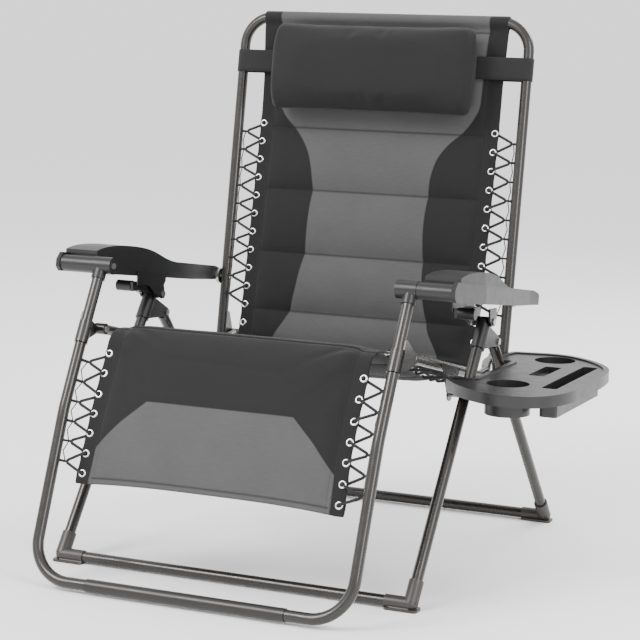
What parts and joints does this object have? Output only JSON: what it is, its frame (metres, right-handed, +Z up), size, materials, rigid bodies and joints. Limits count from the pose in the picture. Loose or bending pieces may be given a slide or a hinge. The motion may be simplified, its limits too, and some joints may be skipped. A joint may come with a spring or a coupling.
{
  "type": "zero gravity recliner",
  "caption": "Folding recliner with a tube frame, laced padded sling, headrest pillow, plastic armrests with recline locks and a clip-on side tray with cup wells.",
  "frame": {"origin": "centre of the bounding box on the floor under the four boots", "axes": "+Z up, -Y towards the sitter's feet, +X to the tray side"},
  "size_m": [1.0214, 0.9964, 1.083],
  "materials": {
    "frame_steel": "semi-gloss",
    "foot_sleeve": "satin",
    "lock_plate": "satin",
    "bolt_steel": "zinc plated",
    "arm_plastic": "fine grain",
    "arm_pad": "fine grain",
    "boot_plastic": "fine grain",
    "sling_fabric": "woven",
    "pillow_fabric": "woven",
    "strap_webbing": "ribbed webbing",
    "eyelet_metal": "bright nickel",
    "lace_cord": "braided cord",
    "tray_plastic": "fine grain"
  },
  "bodies": {
    "front_legs": {"front_floor_bar": "frame_steel", "front_boot_left": "boot_plastic", "front_boot_right": "boot_plastic", "front_leg_left": "frame_steel", "front_leg_right": "frame_steel", "leg_cap_left": "arm_plastic", "leg_cap_right": "arm_plastic"},
    "rear_legs": {"rear_floor_bar": "frame_steel", "leg_hinge_bolts": "bolt_steel", "rear_boot_left": "boot_plastic", "rear_boot_right": "boot_plastic", "rear_leg_left": "frame_steel", "rear_leg_right": "frame_steel"},
    "seat": {"seat_rail_left": "frame_steel", "seat_rail_right": "frame_steel", "seat_pivot_bolts": "bolt_steel", "seat_panel": "sling_fabric", "seat_eyelets": "eyelet_metal", "seat_lacing": "lace_cord"},
    "back_pins": {"back_pivot_bolts": "bolt_steel", "rear_bend": "sling_fabric"},
    "back": {"back_tube_left": "frame_steel", "back_tube_right": "frame_steel", "back_top_bar": "frame_steel", "back_panel": "sling_fabric", "back_eyelets": "eyelet_metal", "back_lacing": "lace_cord"},
    "foot_pins": {"foot_pivot_bolts": "bolt_steel", "front_bend": "sling_fabric"},
    "foot": {"foot_upper_tube_left": "frame_steel", "foot_upper_tube_right": "frame_steel", "foot_lower_tube_left": "frame_steel", "foot_lower_tube_right": "frame_steel", "foot_bar": "frame_steel", "foot_bar_sleeve": "foot_sleeve", "foot_joint_sleeves": "frame_steel", "nose_tee_left": "arm_plastic", "nose_tee_right": "arm_plastic", "nose_screws": "bolt_steel", "leg_panel": "sling_fabric", "leg_eyelets": "eyelet_metal", "leg_lacing": "lace_cord"},
    "arm_pins": {"arm_pivot_bolts": "bolt_steel"},
    "arms": {"armrest_left": "arm_plastic", "armrest_right": "arm_plastic", "arm_pad_left": "arm_pad", "arm_pad_right": "arm_pad", "arm_nose_tube_left": "arm_plastic", "arm_nose_tube_right": "arm_plastic"},
    "lock_brackets": {"lock_bracket_left": "lock_plate", "lock_bracket_right": "lock_plate", "lock_bolt_left": "bolt_steel", "lock_bolt_right": "bolt_steel"},
    "lock_lever_left": {"lock_lever_left": "arm_plastic"},
    "lock_lever_right": {"lock_lever_right": "arm_plastic"},
    "pillow": {"headrest_pillow": "pillow_fabric", "headrest_strap": "strap_webbing"},
    "tray": {"tray": "tray_plastic"}
  },
  "joints": [
    {"name": "leg_fold", "type": "hinge", "parent": "front_legs", "child": "rear_legs", "pos_m": [-0.091, 0.097, 0.448], "axis": [1, 0, 0], "range_deg": [-72, 0]},
    {"name": "seat_fold", "type": "hinge", "parent": "front_legs", "child": "seat", "pos_m": [-0.091, -0.04922, 0.36], "axis": [1, 0, 0], "range_deg": [-105, 0]},
    {"name": "back_fold", "type": "hinge", "parent": "seat", "child": "back_pins", "pos_m": [-0.091, 0.3124, 0.378], "axis": [1, 0, 0], "range_deg": [0, 70]},
    {"name": "recline", "type": "hinge", "parent": "back_pins", "child": "back", "pos_m": [-0.091, 0.3124, 0.378], "axis": [1, 0, 0], "range_deg": [-42, 0]},
    {"name": "foot_fold", "type": "hinge", "parent": "seat", "child": "foot_pins", "pos_m": [-0.091, -0.23, 0.458], "axis": [1, 0, 0], "range_deg": [0, 70]},
    {"name": "foot_raise", "type": "hinge", "parent": "foot_pins", "child": "foot", "pos_m": [-0.091, -0.23, 0.458], "axis": [1, 0, 0], "range_deg": [-42, 0]},
    {"name": "arm_fold", "type": "hinge", "parent": "back", "child": "arm_pins", "pos_m": [-0.091, 0.3104, 0.504], "axis": [1, 0, 0], "range_deg": [-74, 0]},
    {"name": "arm_level", "type": "hinge", "parent": "arm_pins", "child": "arms", "pos_m": [-0.091, 0.3104, 0.504], "axis": [1, 0, 0], "range_deg": [0, 42]},
    {"name": "lock_fold", "type": "hinge", "parent": "front_legs", "child": "lock_brackets", "pos_m": [-0.091, 0.0487, 0.494], "axis": [1, 0, 0], "range_deg": [-109, 0]},
    {"name": "lever_left", "type": "hinge", "parent": "lock_brackets", "child": "lock_lever_left", "pos_m": [-0.091, -0.055, 0.521], "axis": [1, 0, 0], "range_deg": [-50, 0], "stiffness_Nm_per_rad": 0.3, "springref_deg": 11.46},
    {"name": "lever_right", "type": "hinge", "parent": "lock_brackets", "child": "lock_lever_right", "pos_m": [-0.091, -0.055, 0.521], "axis": [1, 0, 0], "range_deg": [-50, 0], "stiffness_Nm_per_rad": 0.3, "springref_deg": 11.46},
    {"name": "pillow_slide", "type": "slide", "parent": "back", "child": "pillow", "axis": [0, -0.1538, -0.9881], "range_m": [0, 0.09]},
    {"name": "tray_slide", "type": "slide", "parent": "front_legs", "child": "tray", "axis": [1, 0, 0], "range_m": [0, 0.351]}
  ],
  "couplings": [
    {"joint": "seat_fold", "follows": "leg_fold", "ratio": 1.4582},
    {"joint": "back_fold", "follows": "leg_fold", "ratio": -0.97212},
    {"joint": "foot_fold", "follows": "leg_fold", "ratio": -0.97212},
    {"joint": "arm_fold", "follows": "leg_fold", "ratio": 1.0277},
    {"joint": "lock_fold", "follows": "leg_fold", "ratio": 1.5138},
    {"joint": "tray_slide", "follows": "leg_fold", "m_per_rad": -0.27852},
    {"joint": "foot_raise", "follows": "recline", "ratio": 1},
    {"joint": "arm_level", "follows": "recline", "ratio": -1}
  ]
}
